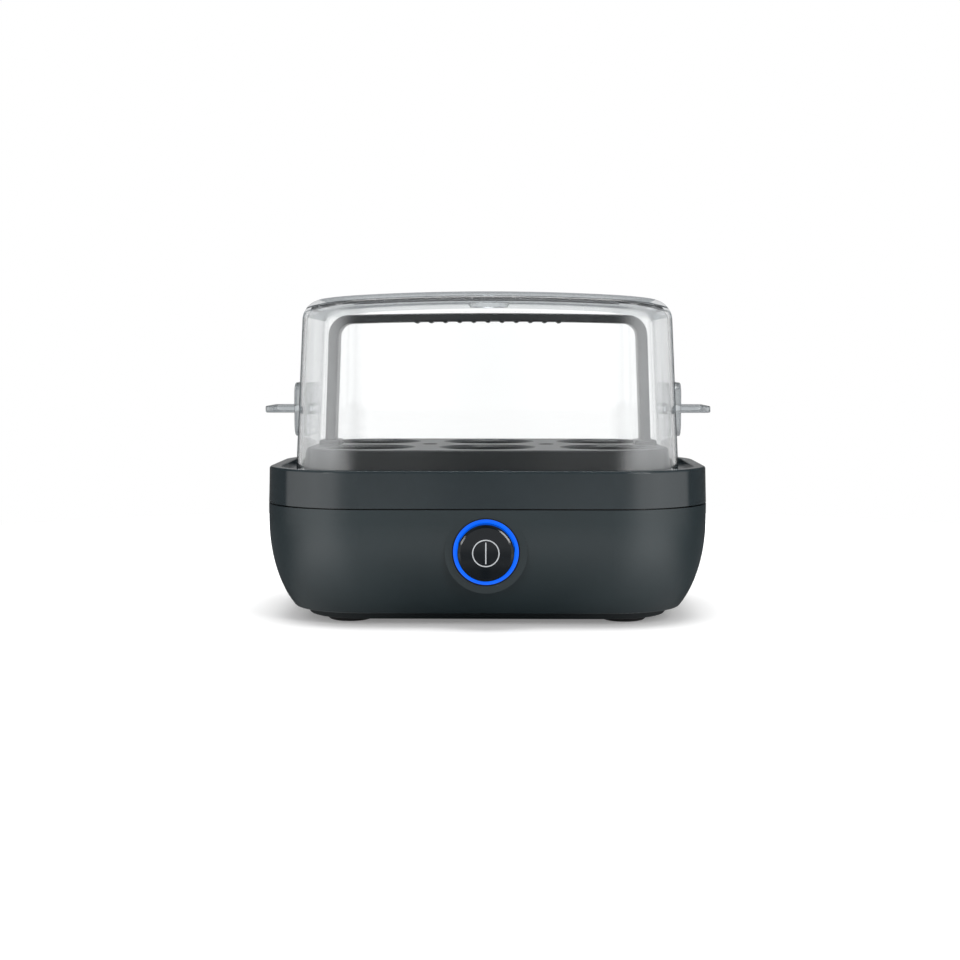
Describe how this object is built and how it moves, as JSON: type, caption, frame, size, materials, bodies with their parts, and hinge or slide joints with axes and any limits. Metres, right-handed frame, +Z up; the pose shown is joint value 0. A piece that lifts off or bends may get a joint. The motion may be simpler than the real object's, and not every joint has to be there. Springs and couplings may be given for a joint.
{
  "type": "electric egg cooker",
  "caption": "Countertop egg cooker: bowl-shaped heated base with round push button, lift-out egg tray with arched handle, and clear lift-off lid with side grips.",
  "frame": {"origin": "on the table, midway between the four feet", "axes": "+X to the right of someone who faces the button, +Y to the back, +Z up"},
  "size_m": [0.195, 0.1377, 0.1395],
  "materials": {
    "housing_plastic": "satin moulded anthracite",
    "collar_plastic": "polished anthracite",
    "tray_plastic": "satin moulded anthracite",
    "plinth_plastic": "fine texture",
    "clear_plastic": "clear, polished",
    "cap_plastic": "polished black",
    "symbol_ink": "light grey inlay",
    "light_guide": "translucent, glows blue",
    "foot_rubber": "matt",
    "gland_rubber": "matt",
    "seal_silicone": "translucent silicone",
    "dish_steel": "brushed stainless steel",
    "plain_steel": "zinc plated",
    "spring_steel": "bright wire",
    "spreader_aluminium": "rolled",
    "element_steel": "annealed tube",
    "ceramic": "unglazed",
    "thermostat_body": "phenolic",
    "board_laminate": "green solder mask",
    "switch_plastic": "moulded",
    "plunger_plastic": "moulded red",
    "lamp_resin": "clear blue resin",
    "block_plastic": "moulded",
    "wire_insulation": "silicone sleeve"
  },
  "bodies": {
    "base": {"lower_housing": "housing_plastic", "trim_collar": "collar_plastic", "base_plate": "plinth_plastic", "base_screws": "plain_steel", "cord_gland": "gland_rubber", "terminal_block": "block_plastic", "heating_dish": "dish_steel", "dish_seal": "seal_silicone", "heat_spreader": "spreader_aluminium", "heating_element": "element_steel", "element_terminals": "ceramic", "element_clamp": "plain_steel", "clamp_screws": "plain_steel", "thermostat": "thermostat_body", "thermal_fuse": "ceramic", "lead_wires": "wire_insulation", "light_ring": "light_guide", "push_switch": "switch_plastic", "button_spring": "spring_steel", "control_board": "board_laminate", "board_screws": "plain_steel", "ring_lamps": "lamp_resin", "buzzer": "switch_plastic", "power_relay": "switch_plastic", "front_left_foot": "foot_rubber", "front_right_foot": "foot_rubber", "rear_left_foot": "foot_rubber", "rear_right_foot": "foot_rubber"},
    "tray": {"egg_tray": "tray_plastic", "carrying_handle": "tray_plastic", "handle_screws": "plain_steel"},
    "lid": {"lid_shell": "clear_plastic", "left_lid_grip": "clear_plastic", "right_lid_grip": "clear_plastic"},
    "button": {"power_button": "cap_plastic", "button_symbol": "symbol_ink", "switch_plunger": "plunger_plastic"}
  },
  "joints": [
    {"name": "tray_lift", "type": "slide", "parent": "base", "child": "tray", "axis": [0, 0, 1], "range_m": [0, 0.08]},
    {"name": "lid_lift", "type": "slide", "parent": "tray", "child": "lid", "axis": [0, 0, 1], "range_m": [0, 0.1]},
    {"name": "button_press", "type": "slide", "parent": "base", "child": "button", "axis": [0, 1, 0], "range_m": [0, 0.002], "stiffness_N_per_m": 400, "springref_m": -0.002, "deforming": ["button_spring"]}
  ]
}
